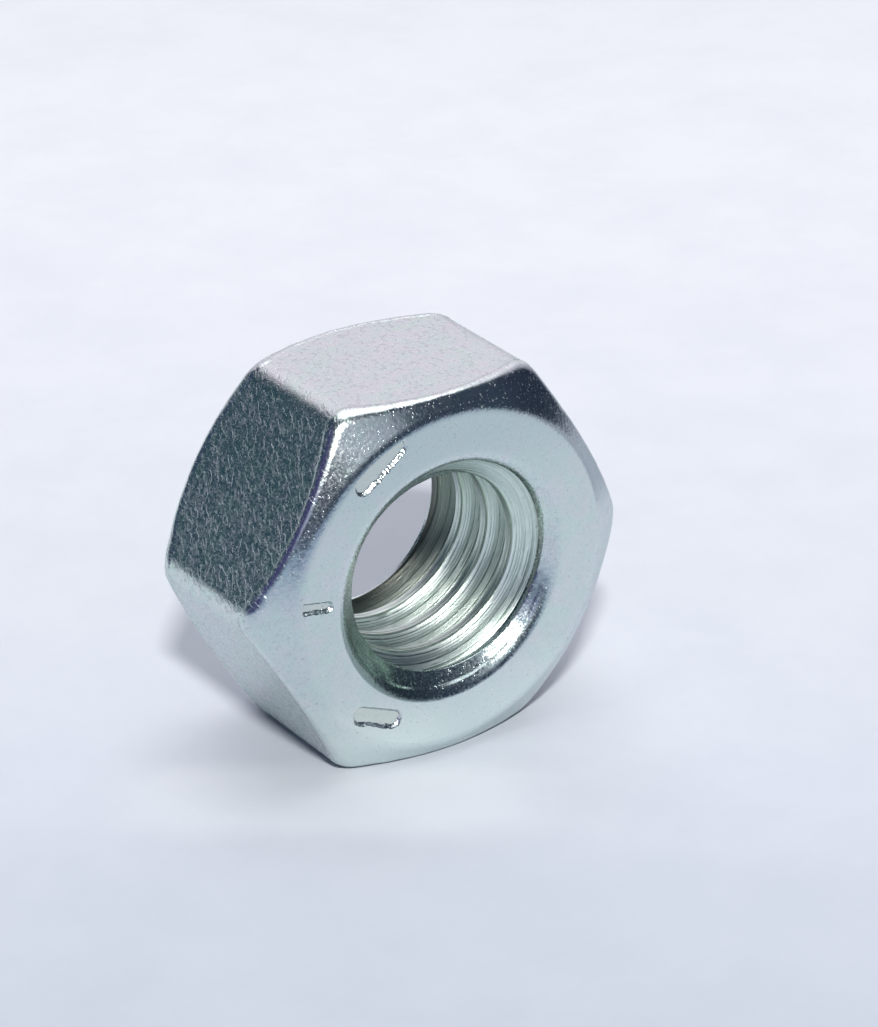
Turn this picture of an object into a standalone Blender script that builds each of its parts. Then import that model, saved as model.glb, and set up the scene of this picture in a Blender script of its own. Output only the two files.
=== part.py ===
"""A 5/16-18 UNC hex nut, zinc-plated steel, standing on one of its flats.

Metres, +Z up. The thread's axis lies along Y, at half the width across flats above the ground.
The origin is under the nut's middle, on the ground. The stamped face looks along -Y.
"""
import math

import bmesh
import bpy
from mathutils import Matrix

INCH = 0.0254

# Driving dimensions.
ACROSS_FLATS = 0.5 * INCH
HEIGHT = 0.273 * INCH
MAJOR_DIAMETER = 5 / 16 * INCH
PITCH = INCH / 18
MINOR_DIAMETER = 0.254 * INCH
COUNTERSINK_DIAMETER = 1.05 * MAJOR_DIAMETER
COUNTERSINK_HALF_ANGLE = math.radians(45)
BEARING_DIAMETER = 0.915 * ACROSS_FLATS
CHAMFER_ANGLE = math.radians(35)
CORNER_RADIUS = 0.0009
MARK_DEPTH = 0.00015
MARK_END_ROUNDING = 0.49

# Length, width, tilt from +X, and the centre's distances right of and above the thread's axis.
MARKS = (
    (0.0021, 0.00070, math.radians(38), -0.00273, 0.00464),
    (0.0020, 0.00070, math.radians(-22), -0.00289, -0.00413),
    (0.0012, 0.00050, math.radians(0), -0.00500, 0.00045),
)

AXIS_HEIGHT = ACROSS_FLATS / 2
FRONT = -HEIGHT / 2
OVERRUN = 2 * PITCH
TURN_STEPS = 48
CORNER_STEPS = 4
MARK_END_STEPS = 4
MERGE = 0.00001
SHARP_ANGLE = math.radians(25)

ZINC_COLOUR = (0.62, 0.66, 0.66, 1.0)
ZINC_ROUGHNESS = 0.28


def clear_scene():
    for thing in list(bpy.data.objects):
        bpy.data.objects.remove(thing, do_unlink=True)


def new_collection(name):
    collection = bpy.data.collections.new(name)
    bpy.context.scene.collection.children.link(collection)
    return collection


def add_object(name, bm, collection):
    """Turn a bmesh about the thread's axis into an object standing at its place."""
    mesh = bpy.data.meshes.new(name)
    bm.to_mesh(mesh)
    bm.free()
    thing = bpy.data.objects.new(name, mesh)
    thing.location = (0, 0, AXIS_HEIGHT)
    collection.objects.link(thing)
    return thing


def add_cutter(name, bm, collection):
    cutter = add_object(name, bm, collection)
    cutter.hide_render = True
    cutter.display_type = "WIRE"
    return cutter


def along_y():
    """The turn that lays a shape built along Z down along Y."""
    return Matrix.Rotation(math.radians(90), 4, "X")


def hexagonal_bar():
    """A six-sided bar along Y with two flats level and its long edges rounded."""
    bm = bmesh.new()
    corner = ACROSS_FLATS / math.sqrt(3)
    turn = along_y() @ Matrix.Rotation(math.radians(30), 4, "Z")
    bmesh.ops.create_cone(
        bm, cap_ends=True, segments=6, radius1=corner, radius2=corner, depth=HEIGHT, matrix=turn
    )
    long_edges = [edge for edge in bm.edges if abs(edge.verts[0].co.y - edge.verts[1].co.y) > HEIGHT / 2]
    bmesh.ops.bevel(
        bm,
        geom=long_edges,
        offset=CORNER_RADIUS * math.tan(math.radians(30)),
        offset_type="OFFSET",
        segments=CORNER_STEPS,
        profile=0.5,
        affect="EDGES",
    )
    return bm


def outline(points, closed):
    """Points of radius and distance along the axis, joined by edges, for a Screw modifier."""
    bm = bmesh.new()
    corners = [bm.verts.new((radius, along, 0)) for radius, along in points]
    for first, second in zip(corners, corners[1:]):
        bm.edges.new((first, second))
    if closed:
        bm.edges.new((corners[-1], corners[0]))
    return bm


def turn_outline(thing, turns=1, advance=0.0, steps=TURN_STEPS):
    screw = thing.modifiers.new("turn", "SCREW")
    screw.axis = "Y"
    screw.angle = math.radians(360)
    screw.iterations = turns
    screw.screw_offset = advance
    screw.steps = steps
    screw.render_steps = steps
    screw.use_merge_vertices = advance == 0
    screw.merge_threshold = MERGE


def chamfer_blank(collection):
    """A round blank, coned at both ends, whose cones chamfer the bar's corners."""
    face = HEIGHT / 2
    bearing = BEARING_DIAMETER / 2
    past_corners = ACROSS_FLATS / math.sqrt(3) + CORNER_RADIUS
    shoulder = face - (past_corners - bearing) * math.tan(CHAMFER_ANGLE)
    half = [(0, face), (bearing, face), (past_corners, shoulder)]
    points = half + [(radius, -along) for radius, along in reversed(half)]
    blank = add_cutter("chamfer_blank", outline(points, closed=False), collection)
    turn_outline(blank, steps=2 * TURN_STEPS)
    return blank


def bore(collection):
    """The hole at the thread's minor diameter, with a cone opening each mouth."""
    inner = MINOR_DIAMETER / 2
    mouth = COUNTERSINK_DIAMETER / 2
    spread = math.tan(COUNTERSINK_HALF_ANGLE)
    throat = HEIGHT / 2 - (mouth - inner) / spread
    outside = HEIGHT / 2 + PITCH / 2
    rim = inner + (outside - throat) * spread
    half = [(0, outside), (rim, outside), (inner, throat)]
    points = half + [(radius, -along) for radius, along in reversed(half)]
    hole = add_cutter("bore", outline(points, closed=False), collection)
    turn_outline(hole)
    return hole


def groove_section():
    """The thread groove's section: a 60 degree vee with a narrow flat floor."""
    floor = MAJOR_DIAMETER / 2
    mouth = MINOR_DIAMETER / 2 - PITCH / 6
    half_floor = PITCH / 16
    half_mouth = half_floor + (floor - mouth) * math.tan(math.radians(30))
    return ((mouth, half_mouth), (floor, half_floor), (floor, -half_floor), (mouth, -half_mouth))


def tap(collection):
    """A right-hand helical cutter that leaves the thread standing in the hole."""
    turns = math.ceil((HEIGHT + 2 * OVERRUN) / PITCH)
    start = -turns * PITCH / 2
    points = [(radius, start + along) for radius, along in groove_section()]
    helix = add_cutter("helix", outline(points, closed=True), collection)
    turn_outline(helix, turns=turns, advance=PITCH)
    evaluated = helix.evaluated_get(bpy.context.evaluated_depsgraph_get())
    bm = bmesh.new()
    bm.from_mesh(evaluated.to_mesh())
    bpy.data.objects.remove(helix, do_unlink=True)
    bmesh.ops.holes_fill(bm, edges=[edge for edge in bm.edges if edge.is_boundary], sides=4)
    bmesh.ops.recalc_face_normals(bm, faces=bm.faces)
    half_step = Matrix.Rotation(math.pi / TURN_STEPS, 4, "Y")
    bmesh.ops.transform(bm, matrix=half_step, verts=bm.verts)
    return add_cutter("tap", bm, collection)


def mark_punch(name, length, width, tilt, right, above, collection):
    """A round-ended bar that sinks a shallow mark into the front face."""
    bm = bmesh.new()
    bmesh.ops.create_cube(bm, size=1, matrix=Matrix.Diagonal((length, 2 * MARK_DEPTH, width, 1)))
    end_edges = [edge for edge in bm.edges if abs(edge.verts[0].co.y - edge.verts[1].co.y) > MARK_DEPTH]
    bmesh.ops.bevel(
        bm,
        geom=end_edges,
        offset=MARK_END_ROUNDING * width,
        offset_type="OFFSET",
        segments=MARK_END_STEPS,
        profile=0.5,
        affect="EDGES",
    )
    place = Matrix.Translation((right, FRONT, above)) @ Matrix.Rotation(-tilt, 4, "Y")
    bmesh.ops.transform(bm, matrix=place, verts=bm.verts)
    return add_cutter(name, bm, collection)


def cut(thing, cutter, operation="DIFFERENCE"):
    boolean = thing.modifiers.new(cutter.name, "BOOLEAN")
    boolean.operation = operation
    boolean.object = cutter
    boolean.solver = "EXACT"


def zinc():
    material = bpy.data.materials.new("zinc_plate")
    material.use_nodes = True
    shader = material.node_tree.nodes["Principled BSDF"]
    shader.inputs["Base Color"].default_value = ZINC_COLOUR
    shader.inputs["Roughness"].default_value = ZINC_ROUGHNESS
    shader.inputs["Metallic"].default_value = 1.0
    return material


def settle(thing):
    """Apply the cuts, and shade the round surfaces smooth between the sharp edges."""
    evaluated = thing.evaluated_get(bpy.context.evaluated_depsgraph_get())
    thing.data = bpy.data.meshes.new_from_object(evaluated)
    thing.modifiers.clear()
    thing.data.shade_smooth()
    thing.data.set_sharp_from_angle(angle=SHARP_ANGLE)


def main():
    clear_scene()
    parts = new_collection("hex_nut")
    cutters = new_collection("cutters")
    nut = add_object("hex_nut", hexagonal_bar(), parts)
    nut.data.materials.append(zinc())
    cut(nut, chamfer_blank(cutters), "INTERSECT")
    cut(nut, bore(cutters))
    cut(nut, tap(cutters))
    for number, mark in enumerate(MARKS, 1):
        cut(nut, mark_punch(f"mark_{number}", *mark, cutters))
    settle(nut)


main()
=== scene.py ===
"""The looks of the hex nut: a bright zinc-plated nut standing on one of its flats on white paper.

Metres, +Z up. The thread's axis lies along Y and the stamped face looks along -Y.
"""

import math
from types import SimpleNamespace

import bmesh
import bpy
import numpy as np
from mathutils import Matrix, Vector, noise


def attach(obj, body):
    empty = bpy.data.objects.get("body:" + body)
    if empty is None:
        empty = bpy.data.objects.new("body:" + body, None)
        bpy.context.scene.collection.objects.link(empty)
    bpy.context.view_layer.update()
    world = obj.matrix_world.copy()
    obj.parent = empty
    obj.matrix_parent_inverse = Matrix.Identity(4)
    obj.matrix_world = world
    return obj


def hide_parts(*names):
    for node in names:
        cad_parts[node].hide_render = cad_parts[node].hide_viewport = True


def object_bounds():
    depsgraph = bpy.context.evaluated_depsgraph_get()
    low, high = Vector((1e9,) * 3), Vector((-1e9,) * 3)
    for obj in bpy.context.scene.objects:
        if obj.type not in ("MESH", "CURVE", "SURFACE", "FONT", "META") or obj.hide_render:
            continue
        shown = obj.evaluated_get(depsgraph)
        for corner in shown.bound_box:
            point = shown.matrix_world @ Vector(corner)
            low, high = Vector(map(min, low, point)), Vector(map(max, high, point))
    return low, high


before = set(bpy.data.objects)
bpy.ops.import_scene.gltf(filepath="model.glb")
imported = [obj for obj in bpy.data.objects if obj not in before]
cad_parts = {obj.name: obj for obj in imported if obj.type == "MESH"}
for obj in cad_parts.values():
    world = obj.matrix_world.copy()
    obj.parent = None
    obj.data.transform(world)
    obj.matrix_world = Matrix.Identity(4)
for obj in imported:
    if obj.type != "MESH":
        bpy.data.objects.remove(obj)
CAD_LOW, CAD_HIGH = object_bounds()

MM = 0.001

# Sizes taken from the frame.
ACROSS_FLATS = CAD_HIGH.z - CAD_LOW.z
AXIS_HEIGHT = (CAD_LOW.z + CAD_HIGH.z) / 2
HALF_HEIGHT = (CAD_HIGH.y - CAD_LOW.y) / 2

# The standard thread and the shape of the blank, as in the CAD.
INCH = 0.0254
PITCH = INCH / 18
MAJOR_RADIUS = 5 / 32 * INCH
MINOR_RADIUS = 0.127 * INCH
MOUTH_RADIUS = 1.05 * MAJOR_RADIUS
BEARING_RADIUS = 0.4568 * ACROSS_FLATS
CHAMFER_SLOPE = 0.70
CORNER_RADIUS = 0.985 * MM

# How deep the cones at the mouths are followed when their rims are rounded.
CONE_RUN = 1.0 * MM

# How far each edge's rounding reaches along the two surfaces that meet there. The chamfer's
# outer edge has this much at the corners and less along the flats, and it wavers on its way round
# by up to this share, with this many waves to a radian.
MOUTH_EASE = 0.24 * MM
BEARING_EASE = 0.24 * MM
CHAMFER_EASE = 0.40 * MM
EDGE_WAVER = 0.3
EDGE_WAVES = 12

# The same for the thread's corners, in pitches.
THREAD_EASE = 0.045

# The thin burr along the flats' edges stands this far above the flats.
BURR = 0.016 * MM

# Rows and columns of the nut's mesh.
SECTOR_COLUMNS = 64
COLUMN_CROWDING = 0.6
EASE_ROWS = 7
FACE_ROWS = 18
CHAMFER_ROWS = 6
FLAT_ROWS = 20

# How far behind the front face the first crest is at +X, in pitches.
THREAD_PHASE = 0.06

# The shallow marks stamped into the front face: length, width, tilt from +X, and the centre's
# distances right of and above the thread's axis. Their lower edges are ragged.
MARKS = (
    (2.30 * MM, 0.74 * MM, math.radians(38), -2.70 * MM, 4.66 * MM),
    (2.00 * MM, 0.70 * MM, math.radians(-22), -2.89 * MM, -4.13 * MM),
    (1.30 * MM, 0.45 * MM, math.radians(-10), -5.15 * MM, 0.45 * MM),
)
MARK_DEPTH = 0.12 * MM
MARK_WALL = 0.13 * MM
MARK_CUTS = 4
RAGGED_PERIOD = 0.17 * MM
RAGGED_REACH = 0.06 * MM

# The camera: azimuth and elevation seen from the nut, distance, and its offset right and up.
CAMERA_AZIMUTH = math.radians(-34.57)
CAMERA_ELEVATION = math.radians(26.24)
CAMERA_DISTANCE = 11.162 * ACROSS_FLATS
CAMERA_RIGHT = 0.1208 * ACROSS_FLATS
CAMERA_UP = 0.0646 * ACROSS_FLATS
CAMERA_LENS = 153.4

# The room's lighter parts: azimuth and elevation, the cosines of the angles at which each fades in,
# and its colour. They are a dim wall, a window behind the nut, a lamp overhead, and three glows on
# the camera's side.
ROOM_COLOUR = (0.035, 0.05, 0.085)
LIGHTER_PARTS = (
    ((-139, 12), (0.76, 0.99), (0.034, 0.072, 0.098)),
    ((142, 33), (0.60, 0.87), (0.985, 0.90, 1.00)),
    ((125, 80), (0.85, 0.97), (2.50, 2.52, 2.60)),
    ((-88, 20), (0.80, 0.97), (0.06, 0.055, 0.17)),
    ((-48, 20), (0.945, 0.995), (0.32, 0.35, 0.52)),
    ((-2, 35), (0.95, 0.993), (0.40, 0.43, 0.52)),
)

# The flash: azimuth, elevation, distance, width, height, power and colour.
FLASH = (-32, 44.2, 0.45, 0.045, 0.03, 1.94, (1.0, 0.975, 0.95))

# The paper's colour, the colour of its painted shade, and where and how far the painted shade darkens it
# towards the camera.
PAPER_COLOUR = (0.747, 0.776, 0.808)
PAPER_SHADE = (0.0, 0.07, 0.18)
PAPER_FADE_START = 60 * MM
PAPER_FADE_REACH = 100 * MM
PAPER_FADE = 0.55
PAPER_FADE_POWER = 1.6
PAPER_DARKEST = 0.25

# Painted light: the paper is painted lighter just in front of the nut, where the nut throws light onto it.
# How much lighter the paper is there, the distances in front of the nut's middle between which the painted
# light fades in and out, the distances to the side between which it fades out, and how far it lies to the
# left.
PAPER_PAINTED_LIGHT = 1.18
GLOW_FADES_IN = (2.5 * MM, 5.0 * MM)
GLOW_FADES_OUT = (9.5 * MM, 6.5 * MM)
GLOW_SIDES = (9.0 * MM, 3.5 * MM)
GLOW_LEFT = 2.0 * MM

FLOOR_RADIUS = 3.0


# ---------------------------------------------------------------- shape of the nut


def column_angles():
    """Angles round the axis from +X, crowded at the six corners."""
    step = np.linspace(-1, 1, SECTOR_COLUMNS, endpoint=False)
    eased = (1 - COLUMN_CROWDING) * step + COLUMN_CROWDING * np.sin(step * math.pi / 2)
    sector = math.radians(30) * eased
    return np.concatenate([math.radians(60 * k + 30) + sector for k in range(6)])


def hexagon_radius(angle):
    """Distance from the axis to a hexagon with rounded corners at 0, 60, ... degrees."""
    half = ACROSS_FLATS / 2
    from_flat = np.abs((angle % math.radians(60)) - math.radians(30))
    from_corner = math.radians(30) - from_flat
    centre = (half - CORNER_RADIUS) / math.cos(math.radians(30))
    under_root = CORNER_RADIUS**2 - (centre * np.sin(from_corner)) ** 2
    arc = centre * np.cos(from_corner) + np.sqrt(np.maximum(under_root, 0))
    tangent = math.atan((half - CORNER_RADIUS) * math.tan(math.radians(30)) / half)
    return np.where(from_flat < tangent, half / np.cos(from_flat), arc)


def unit(vectors):
    return vectors / np.linalg.norm(vectors, axis=-1, keepdims=True)


def ease_corner(before, corner, after, ease, steps):
    """Points that round one corner, as a quadratic curve."""
    start = corner + unit(before - corner) * ease
    end = corner + unit(after - corner) * ease
    return [(1 - t) ** 2 * start + 2 * t * (1 - t) * corner + t**2 * end for t in np.linspace(0, 1, steps)]


def section_corners(angles):
    """Corners (radius, y) of the outside's section: back throat, back mouth ... front throat."""
    outer = hexagon_radius(angles)
    flat = np.ones_like(angles)
    drop = (outer - BEARING_RADIUS) * CHAMFER_SLOPE
    back_half = [
        ((MOUTH_RADIUS - CONE_RUN) * flat, (HALF_HEIGHT - CONE_RUN) * flat),
        (MOUTH_RADIUS * flat, HALF_HEIGHT * flat),
        (BEARING_RADIUS * flat, HALF_HEIGHT * flat),
        (outer, HALF_HEIGHT - drop),
    ]
    front_half = [(radius, -y) for radius, y in reversed(back_half)]
    return [np.stack(corner, -1) for corner in back_half + front_half]


def edge_waver(angle):
    """How many times its usual width the rounding of the chamfer's edge has at an angle."""
    return 1 + EDGE_WAVER * noise.noise(Vector((math.cos(angle), math.sin(angle), 0)) * EDGE_WAVES)


def outer_rows(angles):
    """Rows of (radius, y) that run from the back countersink over the outside to the front one."""
    corners = section_corners(angles)
    outer = hexagon_radius(angles)
    reach = (outer - BEARING_RADIUS) / (outer.max() - BEARING_RADIUS)
    waver = [edge_waver(angle) for angle in angles]
    chamfer_ease = (CHAMFER_EASE * reach * waver)[:, None]
    eases = [MOUTH_EASE, BEARING_EASE, chamfer_ease, chamfer_ease, BEARING_EASE, MOUTH_EASE]
    stretches = [FACE_ROWS, CHAMFER_ROWS, FLAT_ROWS, CHAMFER_ROWS, FACE_ROWS]
    arcs = [
        ease_corner(corners[k], corners[k + 1], corners[k + 2], ease, EASE_ROWS)
        for k, ease in enumerate(eases)
    ]
    rows = list(arcs[0])
    for count, arc in zip(stretches, arcs[1:]):
        start = rows[-1]
        crowded = (1 - np.cos(np.linspace(0, math.pi, count + 2))) / 2
        between = [start + (arc[0] - start) * t for t in crowded[1:-1]]
        if count == FLAT_ROWS:
            between = [point - (BURR, 0) for point in between]
        rows += between + arc
    return np.array(rows)


def thread_section():
    """One pitch of the thread's section: (share of the pitch, radius), crest first."""
    half_root = 1 / 16
    half_gap = half_root + (MAJOR_RADIUS - MINOR_RADIUS) * math.tan(math.radians(30)) / PITCH
    low = MINOR_RADIUS / PITCH
    high = MAJOR_RADIUS / PITCH
    corners = [
        (-0.5, low),
        (-half_gap, low),
        (-half_root, high),
        (half_root, high),
        (half_gap, low),
        (0.5, low),
    ]
    corners = [np.array(corner) for corner in corners]
    points = [corners[0]]
    for before, corner, after in zip(corners, corners[1:], corners[2:]):
        arc = ease_corner(before, corner, after, THREAD_EASE, 3)
        points.append((points[-1] + arc[0]) / 2)
        points += arc
    points.append((points[-1] + corners[-1]) / 2)
    return np.array(points) * (1, PITCH) + (0.5, 0)


def add_ring_faces(faces, lower, upper):
    """Four-sided faces between two closed rows of corners."""
    for a, b, c, d in zip(lower, np.roll(lower, -1), np.roll(upper, -1), upper):
        faces.append((a, b, c, d))


def around(radius, y, angle):
    """Points at a radius and angle round the thread's axis."""
    return np.stack([radius * np.cos(angle), y, AXIS_HEIGHT + radius * np.sin(angle)], -1)


def helical_rows(points, rows, index, angles):
    """Rows of corners along the thread, held between the two throats. Adds their points."""
    section = thread_section()
    rim, throat = rows[-1, 0]
    back, front = index[0], index[-1]
    pitches = math.ceil(2 * HALF_HEIGHT / PITCH) + 2
    count = index.size
    turned = (angles - angles[0]) / (2 * math.pi)
    helix = []
    for k in range(pitches * len(section) + 1):
        share, radius = section[k % len(section)]
        y = -HALF_HEIGHT + PITCH * (k // len(section) - 1 + share + THREAD_PHASE - turned)
        cone = rim - np.minimum(y - throat, -throat - y)
        row = np.where(y <= throat, front, np.where(y >= -throat, back, -1))
        inside = row < 0
        row[inside] = count + np.arange(inside.sum())
        count += inside.sum()
        points.append(around(np.maximum(radius, cone), y, angles)[inside])
        helix.append(row)
    return helix


def add_helical_faces(faces, helix, per_pitch, front):
    """Four-sided faces between helical rows, each of which goes on as the row a pitch before it."""
    for k, (lower, upper) in enumerate(zip(helix, helix[1:])):
        wrapped_lower = helix[k - per_pitch][0] if k >= per_pitch else front[0]
        wrapped_upper = helix[k + 1 - per_pitch][0] if k + 1 >= per_pitch else front[0]
        next_lower = np.append(lower[1:], wrapped_lower)
        next_upper = np.append(upper[1:], wrapped_upper)
        faces += list(zip(lower, next_lower, next_upper, upper))


def nut_mesh():
    """The nut's points and faces: the outside in level rows, and the thread in helical ones."""
    angles = column_angles()
    rows = outer_rows(angles)
    points = [around(rows[..., 0], rows[..., 1], angles).reshape(-1, 3)]
    index = np.arange(len(rows) * len(angles)).reshape(len(rows), len(angles))
    faces = []
    for lower, upper in zip(index, index[1:]):
        add_ring_faces(faces, lower, upper)
    helix = helical_rows(points, rows, index, angles)
    add_helical_faces(faces, helix, len(thread_section()), index[-1])
    return np.concatenate(points), faces


def tidy_face(face):
    """The face's corners with neighbours that are the same point dropped."""
    kept = [int(c) for c, after in zip(face, face[1:] + face[:1]) if c != after]
    return kept if len(kept) > 2 else None


def build_nut():
    points, faces = nut_mesh()
    mesh = bpy.data.meshes.new("nut")
    faces = [tidy_face(tuple(face)) for face in faces]
    mesh.from_pydata(points.tolist(), [], [face for face in faces if face])
    nut = bpy.data.objects.new("plated_nut", mesh)
    bpy.context.scene.collection.objects.link(nut)
    bm = bmesh.new()
    bm.from_mesh(mesh)
    refine_marks(bm)
    for vert in bm.verts:
        sink = mark_depth(vert.co)
        if sink > 0:
            vert.co.y += sink
    bmesh.ops.recalc_face_normals(bm, faces=bm.faces)
    bm.to_mesh(mesh)
    bm.free()
    mesh.shade_smooth()
    return nut


# ---------------------------------------------------------------- stamped marks


def mark_place(co, mark):
    """Distances of a point along and across a mark, from its middle."""
    _, _, tilt, right, above = mark
    x = co.x - right
    z = co.z - AXIS_HEIGHT - above
    return (
        x * math.cos(tilt) + z * math.sin(tilt),
        z * math.cos(tilt) - x * math.sin(tilt),
    )


def outside_mark(co, mark):
    """Distance of a point outside a mark's round-ended outline; negative inside it."""
    length, width = mark[:2]
    along, across = mark_place(co, mark)
    reach = max(abs(along) - (length - width) / 2, 0)
    return math.hypot(reach, across) - width / 2


def on_front_face(co):
    return co.y < -HALF_HEIGHT + 0.01 * MM


def refine_marks(bm):
    """Divide the front face's mesh finely where the marks are."""
    near = set()
    for edge in bm.edges:
        middle = (edge.verts[0].co + edge.verts[1].co) / 2
        if on_front_face(middle) and any(outside_mark(middle, mark) < 0.1 * MM for mark in MARKS):
            near.add(edge)
    bmesh.ops.subdivide_edges(bm, edges=list(near), cuts=MARK_CUTS, use_grid_fill=True)


def mark_depth(co):
    """How deep the marks sink the front face at a point."""
    if not on_front_face(co):
        return 0
    depth = 0
    for mark in MARKS:
        along, across = mark_place(co, mark)
        ragged = noise.noise(Vector((along, across, mark[2])) / RAGGED_PERIOD) * RAGGED_REACH
        side = max(0, min(1, 0.5 - across / mark[1]))
        inside = -(outside_mark(co, mark) + ragged * side) / MARK_WALL
        step = max(0, min(1, inside))
        depth = max(depth, MARK_DEPTH * step * step * (3 - 2 * step))
    return depth


# ---------------------------------------------------------------- materials


class Nodes:
    """Short calls that add nodes to a material or world and join them up."""

    def __init__(self, tree):
        self.tree = tree

    def add(self, kind, inputs=None, **settings):
        node = self.tree.nodes.new(kind)
        for name, value in settings.items():
            setattr(node, name, value)
        for name, value in (inputs or {}).items():
            if isinstance(value, bpy.types.NodeSocket):
                self.tree.links.new(value, node.inputs[name])
            else:
                node.inputs[name].default_value = value
        return node

    def maths(self, operation, first, second=0.0):
        return self.add("ShaderNodeMath", {0: first, 1: second}, operation=operation).outputs[0]

    def times(self, first, *others):
        """The product of several values."""
        for other in others:
            first = self.maths("MULTIPLY", first, other)
        return first

    def noise(self, vector, scale, detail=2.0, roughness=0.5, distortion=0.0):
        inputs = {
            "Vector": vector,
            "Scale": scale,
            "Detail": detail,
            "Roughness": roughness,
            "Distortion": distortion,
        }
        return self.add("ShaderNodeTexNoise", inputs).outputs["Fac"]

    def strokes(self, vector, turn, size, amount, detail=2.0):
        """A mask of short strokes: noise stretched one way, kept where it is highest."""
        turned = {"Vector": vector, "Rotation": [math.radians(angle) for angle in turn]}
        turned = self.add("ShaderNodeMapping", turned).outputs["Vector"]
        stretched = {"Vector": turned, "Scale": [1 / length for length in size]}
        stretched = self.add("ShaderNodeMapping", stretched).outputs["Vector"]
        return self.ramp(self.noise(stretched, 1.0, detail), 0.62 - amount, 0.74 - amount)

    def towards(self, vector, way):
        """A vector's reach one way: for a direction, the cosine of the angle between them."""
        node = self.add("ShaderNodeVectorMath", {0: vector, 1: direction(*way)}, operation="DOT_PRODUCT")
        return node.outputs["Value"]

    def ramp(self, value, low, high, to_low=0.0, to_high=1.0):
        inputs = {"Value": value, "From Min": low, "From Max": high, "To Min": to_low, "To Max": to_high}
        return self.add("ShaderNodeMapRange", inputs, interpolation_type="SMOOTHSTEP").outputs["Result"]

    def mix(self, share, first, second):
        """A colour between two others."""
        node = self.add("ShaderNodeMix", data_type="RGBA")
        sockets = [socket for socket in node.inputs if socket.type == "RGBA"]
        for socket, value in ((node.inputs[0], share), *zip(sockets, (first, second))):
            if isinstance(value, bpy.types.NodeSocket):
                self.tree.links.new(value, socket)
            else:
                socket.default_value = value if isinstance(value, float) else (*value, 1.0)
        return [socket for socket in node.outputs if socket.type == "RGBA"][0]

    def blend(self, share, first, second):
        """A number between two others."""
        return self.add("ShaderNodeMix", {"Factor": share, "A": first, "B": second}).outputs["Result"]


def zinc_places(nodes):
    """Coordinates in millimetres from the axis, and a mask for each kind of surface."""
    inputs = {0: nodes.add("ShaderNodeTexCoord").outputs["Object"], "Scale": 1 / MM}
    place = nodes.add("ShaderNodeVectorMath", inputs, operation="SCALE").outputs[0]
    x, y, z = nodes.add("ShaderNodeSeparateXYZ", {0: place}).outputs
    height = nodes.maths("SUBTRACT", z, AXIS_HEIGHT / MM)
    radius = nodes.maths("SQRT", nodes.maths("ADD", nodes.times(x, x), nodes.times(height, height)))
    depth = nodes.maths("SUBTRACT", HALF_HEIGHT / MM, nodes.maths("ABSOLUTE", y))
    normal = nodes.add("ShaderNodeNewGeometry").outputs["Normal"]
    facing = nodes.maths("ABSOLUTE", nodes.add("ShaderNodeSeparateXYZ", {0: normal}).outputs["Y"])

    mouth_edge = MOUTH_RADIUS / MM
    thread_root = MAJOR_RADIUS / MM
    bearing_edge = BEARING_RADIUS / MM
    off_cone = nodes.maths("SUBTRACT", nodes.maths("ADD", radius, depth), mouth_edge)
    cone = nodes.ramp(nodes.maths("ABSOLUTE", off_cone), 0.15, 0.09)
    in_hole = nodes.ramp(radius, thread_root + 0.03, thread_root - 0.01)
    bore = nodes.times(in_hole, nodes.maths("SUBTRACT", 1.0, cone))
    near_mouth = nodes.ramp(radius, mouth_edge + 0.18, mouth_edge - 0.02)
    mouth = nodes.maths("MAXIMUM", nodes.times(near_mouth, nodes.ramp(depth, 0.02, 0.08)), cone)
    bearing = nodes.ramp(facing, 0.96, 0.99)
    end = nodes.times(nodes.ramp(radius, bearing_edge - 0.20, bearing_edge), nodes.ramp(facing, 0.25, 0.50))
    chamfer = nodes.times(end, nodes.ramp(facing, 0.99, 0.94))
    formed = nodes.times(nodes.maths("MAXIMUM", chamfer, mouth), nodes.maths("SUBTRACT", 1.0, bore))
    return SimpleNamespace(
        place=place,
        x=x,
        y=y,
        height=height,
        depth=depth,
        bore=bore,
        mouth=mouth,
        bearing=bearing,
        chamfer=chamfer,
        end_face=nodes.maths("MAXIMUM", bearing, end),
        formed=formed,
        step=nodes.ramp(depth, 0.20, 0.32),
    )


def tap_marks(nodes, at):
    """Noise drawn out along the thread's helix, the same in every turn of it."""
    around_axis = nodes.maths("ARCTAN2", at.height, at.x)
    turn = nodes.maths("ADD", nodes.times(at.y, 2 * math.pi * MM / PITCH), around_axis)
    drift = nodes.noise(at.place, 0.55, detail=2)
    inputs = {
        0: nodes.times(nodes.maths("COSINE", turn), 4.2),
        1: nodes.times(nodes.maths("SINE", turn), 4.2),
        2: nodes.times(drift, 1.1),
    }
    helical = nodes.add("ShaderNodeCombineXYZ", inputs).outputs[0]
    return nodes.noise(helical, 1.6, detail=4, roughness=0.75)


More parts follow.
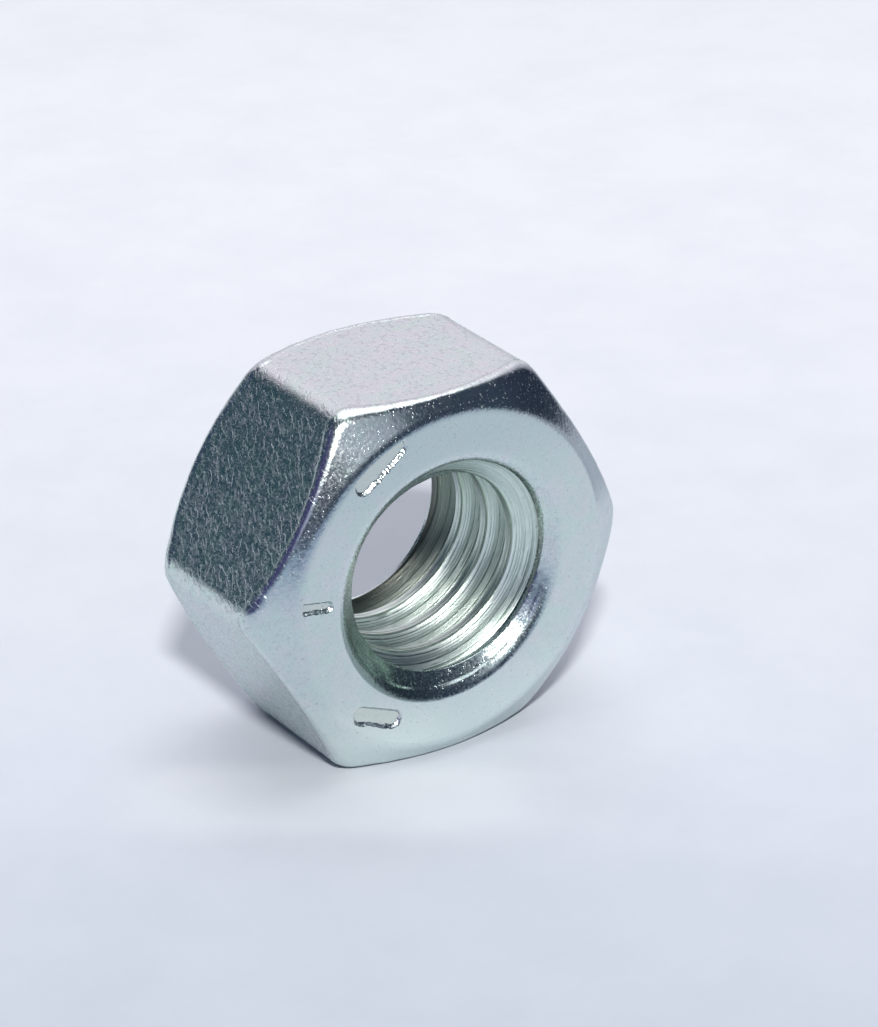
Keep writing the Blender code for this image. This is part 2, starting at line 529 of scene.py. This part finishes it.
def zinc_marks(nodes, at):
    """Patterns left in the surface by rolling, forming, tapping and tumbling."""
    place = at.place
    patches = nodes.noise(place, 2.6, detail=4, roughness=0.6)
    flecks = nodes.strokes(place, (20, 35, 10), (0.13, 0.10, 0.60), 0.005)
    flecks = nodes.maths("MAXIMUM", flecks, nodes.strokes(place, (75, 10, 50), (0.10, 0.11, 0.50), 0.005))
    flecks = nodes.maths("MAXIMUM", flecks, nodes.strokes(place, (-35, 60, 20), (0.07, 0.06, 0.45), 0.015))
    flecks = nodes.times(flecks, nodes.ramp(patches, 0.35, 0.62, 0.35, 1.0))
    hollows = nodes.strokes(place, (50, -30, 65), (0.16, 0.13, 0.40), 0.09, detail=4)
    return SimpleNamespace(
        grain=nodes.noise(place, 13.0, detail=4, roughness=0.65),
        mottle=nodes.noise(place, 6.0, detail=5, roughness=0.72, distortion=0.6),
        patches=patches,
        clouds=nodes.noise(place, 1.1, detail=3),
        other_clouds=nodes.noise(place, 0.8, detail=3, distortion=1.0),
        flecks=nodes.times(flecks, nodes.ramp(at.bearing, 0.0, 1.0, 1.0, 0.25)),
        hollows=nodes.times(hollows, nodes.ramp(at.bearing, 0.0, 1.0, 1.0, 0.2)),
        scratches=nodes.strokes(place, (60, 15, 70), (0.05, 0.05, 1.1), -0.03),
        specks=nodes.ramp(nodes.noise(place, 5.5, detail=2), 0.70, 0.76),
        tapped=tap_marks(nodes, at),
        smoother=nodes.times(nodes.ramp(at.height, -0.8, 1.2), 0.6),
    )


def zinc_colour(nodes, at, marks):
    """Bluish zinc with green and pink clouds; painted shade in the bore and mouths, painted reflections on
    the ends.
    """
    share = nodes.ramp(marks.clouds, 0.35, 0.65)
    colour = nodes.mix(share, (0.645, 0.745, 0.72), (0.69, 0.74, 0.74))
    colour = nodes.mix(nodes.ramp(marks.other_clouds, 0.45, 0.70), colour, (0.63, 0.77, 0.71))
    colour = nodes.mix(nodes.ramp(marks.patches, 0.45, 0.65, 0.0, 0.5), colour, (0.74, 0.74, 0.76))
    share = nodes.times(nodes.ramp(marks.mottle, 0.40, 0.62), at.bearing, 0.35)
    colour = nodes.mix(share, colour, (0.60, 0.67, 0.64))
    colour = nodes.mix(nodes.times(marks.flecks, 0.30), colour, (0.70, 0.77, 0.72))
    colour = nodes.mix(nodes.times(marks.hollows, 0.22), colour, (0.34, 0.36, 0.42))

    # Painted reflection: the end faces are painted lighter at the bottom and darker at the top,
    # and the chamfer darker at the upper right, as the paper and the dark room would show in them.
    share = nodes.times(at.end_face, nodes.ramp(at.height, -3.0, -5.6), 0.9)
    colour = nodes.mix(share, colour, (0.81, 0.91, 0.87))
    share = nodes.times(at.bearing, nodes.ramp(at.height, 2.0, 5.0), 0.8)
    colour = nodes.mix(share, colour, (0.56, 0.66, 0.65))
    share = nodes.times(at.chamfer, nodes.ramp(at.x, 1.5, 3.5), nodes.ramp(at.height, 0.5, 2.0), 0.7)
    colour = nodes.mix(share, colour, (0.24, 0.28, 0.33))

    # The floors of the stamped marks, then the chamfers, then painted shade on the mouths' lower and left
    # parts.
    share = nodes.times(nodes.ramp(at.depth, 0.05, 0.10), at.bearing, 0.8)
    colour = nodes.mix(share, colour, (0.66, 0.71, 0.65))
    colour = nodes.mix(nodes.times(at.formed, 0.2), colour, (0.575, 0.65, 0.69))
    # Painted shade: the mouths are darker at the bottom and on the left.
    share = nodes.times(at.mouth, nodes.ramp(at.height, -0.8, -2.8), 0.5)
    colour = nodes.mix(share, colour, (0.40, 0.52, 0.52))
    share = nodes.times(at.mouth, nodes.ramp(at.x, 0.5, -2.0), nodes.ramp(at.height, 1.0, -1.0), 0.8)
    colour = nodes.mix(share, colour, (0.20, 0.28, 0.25))

    # The bore has light and dark streaks, and painted shade darkens it towards the back.
    streaks = nodes.blend(marks.smoother, nodes.ramp(marks.tapped, 0.44, 0.56), 0.5)
    bore_colour = nodes.mix(streaks, (0.38, 0.48, 0.42), (0.85, 0.94, 0.90))
    bore_colour = nodes.mix(nodes.ramp(at.y, 1.3, 2.4), bore_colour, (0.10, 0.11, 0.095))
    colour = nodes.mix(at.bore, colour, bore_colour)
    return nodes.mix(nodes.times(marks.specks, 0.45), colour, (0.25, 0.28, 0.28))


def zinc_roughness(nodes, at, marks):
    """Satin flats with rougher flecks and scratches; smoother chamfers and mouths."""
    wrench_flats = nodes.ramp(marks.mottle, 0.38, 0.64, 0.12, 0.31)
    rough = nodes.blend(at.bearing, wrench_flats, nodes.ramp(marks.grain, 0.35, 0.65, 0.17, 0.24))
    rough = nodes.blend(marks.flecks, rough, 0.38)
    rough = nodes.blend(marks.scratches, rough, 0.60)
    rough = nodes.blend(at.formed, rough, nodes.ramp(marks.grain, 0.40, 0.62, 0.16, 0.25))
    rough = nodes.blend(at.mouth, rough, nodes.ramp(marks.grain, 0.40, 0.62, 0.18, 0.30))
    rough = nodes.blend(nodes.times(marks.scratches, at.chamfer), rough, 0.5)
    return nodes.blend(at.bore, rough, nodes.ramp(marks.tapped, 0.35, 0.65, 0.26, 0.40))


def zinc_relief(nodes, at, marks):
    """Heights of the surface's fine unevenness, in millimetres."""
    fine = nodes.times(marks.grain, nodes.ramp(at.bearing, 0.0, 1.0, 0.0014, 0.0003))
    uneven = nodes.times(marks.mottle, nodes.ramp(at.bearing, 0.0, 1.0, 0.009, 0.001))
    flat = nodes.maths("ADD", fine, nodes.times(marks.flecks, 0.0036))
    flat = nodes.maths("SUBTRACT", flat, nodes.times(marks.hollows, 0.0065))
    flat = nodes.maths("ADD", flat, uneven)
    flat = nodes.maths("ADD", flat, nodes.times(marks.scratches, 0.004))

    formed = nodes.times(nodes.noise(at.place, 6.5, detail=3, roughness=0.55), 0.0075)
    formed = nodes.maths("ADD", formed, nodes.times(marks.scratches, 0.006))
    broken = nodes.ramp(nodes.noise(at.place, 0.7), 0.30, 0.65)
    formed = nodes.maths("SUBTRACT", formed, nodes.times(at.step, broken, at.mouth, 0.024))

    tapped = nodes.times(marks.tapped, nodes.maths("SUBTRACT", 1.0, marks.smoother), 0.009)
    fine = nodes.times(marks.grain, nodes.ramp(at.height, -1.0, 1.0, 0.009, 0.004))
    tapped = nodes.maths("ADD", tapped, fine)

    relief = nodes.blend(at.bore, nodes.blend(at.formed, flat, formed), tapped)
    return nodes.maths("ADD", relief, nodes.times(marks.clouds, 0.012))


def zinc_material():
    """Bright zinc plate: flecked flats, smoother chamfers, and a greenish bore with tap marks."""
    material = bpy.data.materials.new("zinc_plate")
    material.use_nodes = True
    nodes = Nodes(material.node_tree)
    at = zinc_places(nodes)
    marks = zinc_marks(nodes, at)
    relief = {"Height": zinc_relief(nodes, at, marks), "Distance": MM, "Strength": 1.0}
    shader = material.node_tree.nodes["Principled BSDF"]
    links = material.node_tree.links
    links.new(zinc_colour(nodes, at, marks), shader.inputs["Base Color"])
    links.new(zinc_roughness(nodes, at, marks), shader.inputs["Roughness"])
    links.new(nodes.add("ShaderNodeBump", relief).outputs["Normal"], shader.inputs["Normal"])
    shader.inputs["Metallic"].default_value = 1.0
    shader.inputs["Specular Tint"].default_value = (0.78, 0.80, 0.82, 1.0)
    return material


def paper_material():
    """White paper with painted shade towards the camera's side and a painted pool of light just in front of
    the nut.
    """
    material = bpy.data.materials.new("paper")
    material.use_nodes = True
    nodes = Nodes(material.node_tree)
    shader = material.node_tree.nodes["Principled BSDF"]
    place = nodes.add("ShaderNodeTexCoord").outputs["Object"]
    # Painted shade: the paper darkens towards the camera's side.
    behind = nodes.towards(place, (math.degrees(CAMERA_AZIMUTH) + 180, 0))
    nearer = nodes.maths("MAXIMUM", nodes.maths("SUBTRACT", PAPER_FADE_START, behind), 0.0)
    share = nodes.maths("POWER", nodes.maths("DIVIDE", nearer, PAPER_FADE_REACH), PAPER_FADE_POWER)
    shade = nodes.maths("SUBTRACT", 1.0, nodes.maths("MULTIPLY", share, PAPER_FADE))
    shade = nodes.maths("MAXIMUM", shade, PAPER_DARKEST)
    # Painted light: the paper is lighter just in front of the nut.
    beside = nodes.towards(place, (math.degrees(CAMERA_AZIMUTH) + 90, 0))
    beside = nodes.maths("ABSOLUTE", nodes.maths("ADD", beside, GLOW_LEFT))
    before = nodes.times(behind, -1.0)
    glow = nodes.times(
        nodes.ramp(before, *GLOW_FADES_IN),
        nodes.ramp(before, *GLOW_FADES_OUT),
        nodes.ramp(beside, *GLOW_SIDES),
    )
    shade = nodes.times(shade, nodes.ramp(glow, 0.0, 1.0, 1.0, PAPER_PAINTED_LIGHT))
    fibres = nodes.ramp(nodes.noise(place, 190, detail=5, roughness=0.65), 0.3, 0.7, 0.96, 1.01)
    colour = nodes.mix(nodes.maths("MULTIPLY", shade, fibres), PAPER_SHADE, PAPER_COLOUR)
    material.node_tree.links.new(colour, shader.inputs["Base Color"])
    shader.inputs["Roughness"].default_value = 0.9
    shader.inputs["Specular IOR Level"].default_value = 0.2
    return material


# ---------------------------------------------------------------- studio


def direction(azimuth, elevation):
    """The unit vector from the nut towards that azimuth, where 0 is the front, and elevation."""
    a = math.radians(azimuth)
    e = math.radians(elevation)
    return Vector((math.sin(a) * math.cos(e), -math.cos(a) * math.cos(e), math.sin(e)))


def add_floor():
    bm = bmesh.new()
    bmesh.ops.create_circle(bm, cap_ends=True, segments=64, radius=FLOOR_RADIUS)
    mesh = bpy.data.meshes.new("floor")
    bm.to_mesh(mesh)
    bm.free()
    floor = bpy.data.objects.new("floor", mesh)
    floor.location.z = CAD_LOW.z
    mesh.materials.append(paper_material())
    bpy.context.scene.collection.objects.link(floor)


def add_light(name, azimuth, elevation, distance, width, height, power, colour):
    light = bpy.data.lights.new(name, "AREA")
    light.shape = "RECTANGLE"
    light.size = width
    light.size_y = height
    light.energy = power
    light.color = colour
    lamp = bpy.data.objects.new(name, light)
    away = direction(azimuth, elevation)
    lamp.location = Vector((0, 0, AXIS_HEIGHT)) + away * distance
    lamp.rotation_euler = away.to_track_quat("Z", "Y").to_euler()
    lamp.visible_camera = False
    bpy.context.scene.collection.objects.link(lamp)


def add_world():
    """A dark room with a few soft bright parts."""
    world = bpy.data.worlds.new("studio")
    world.use_nodes = True
    bpy.context.scene.world = world
    nodes = Nodes(world.node_tree)
    way = nodes.add("ShaderNodeTexCoord").outputs["Generated"]
    colour = ROOM_COLOUR
    for middle, edge, lighter in LIGHTER_PARTS:
        colour = nodes.mix(nodes.ramp(nodes.towards(way, middle), *edge), colour, lighter)
    background = world.node_tree.nodes["Background"]
    world.node_tree.links.new(colour, background.inputs["Color"])


def add_camera():
    data = bpy.data.cameras.new("camera")
    data.lens = CAMERA_LENS
    data.sensor_width = 36
    data.sensor_fit = "AUTO"
    data.clip_start = 0.001
    camera = bpy.data.objects.new("camera", data)
    back = direction(math.degrees(CAMERA_AZIMUTH), math.degrees(CAMERA_ELEVATION))
    right = Vector((math.cos(CAMERA_AZIMUTH), math.sin(CAMERA_AZIMUTH), 0))
    up = back.cross(right)
    centre = Vector((0, 0, AXIS_HEIGHT))
    camera.location = centre + back * CAMERA_DISTANCE + right * CAMERA_RIGHT + up * CAMERA_UP
    camera.rotation_euler = Matrix((right, up, back)).transposed().to_euler()
    bpy.context.scene.collection.objects.link(camera)
    bpy.context.scene.camera = camera


def main():
    nut = build_nut()
    nut.data.materials.append(zinc_material())
    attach(nut, "root")
    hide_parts("hex_nut")
    add_floor()
    add_world()
    add_light("flash", *FLASH)
    add_camera()
    bpy.context.scene.view_settings.view_transform = "Standard"


main()
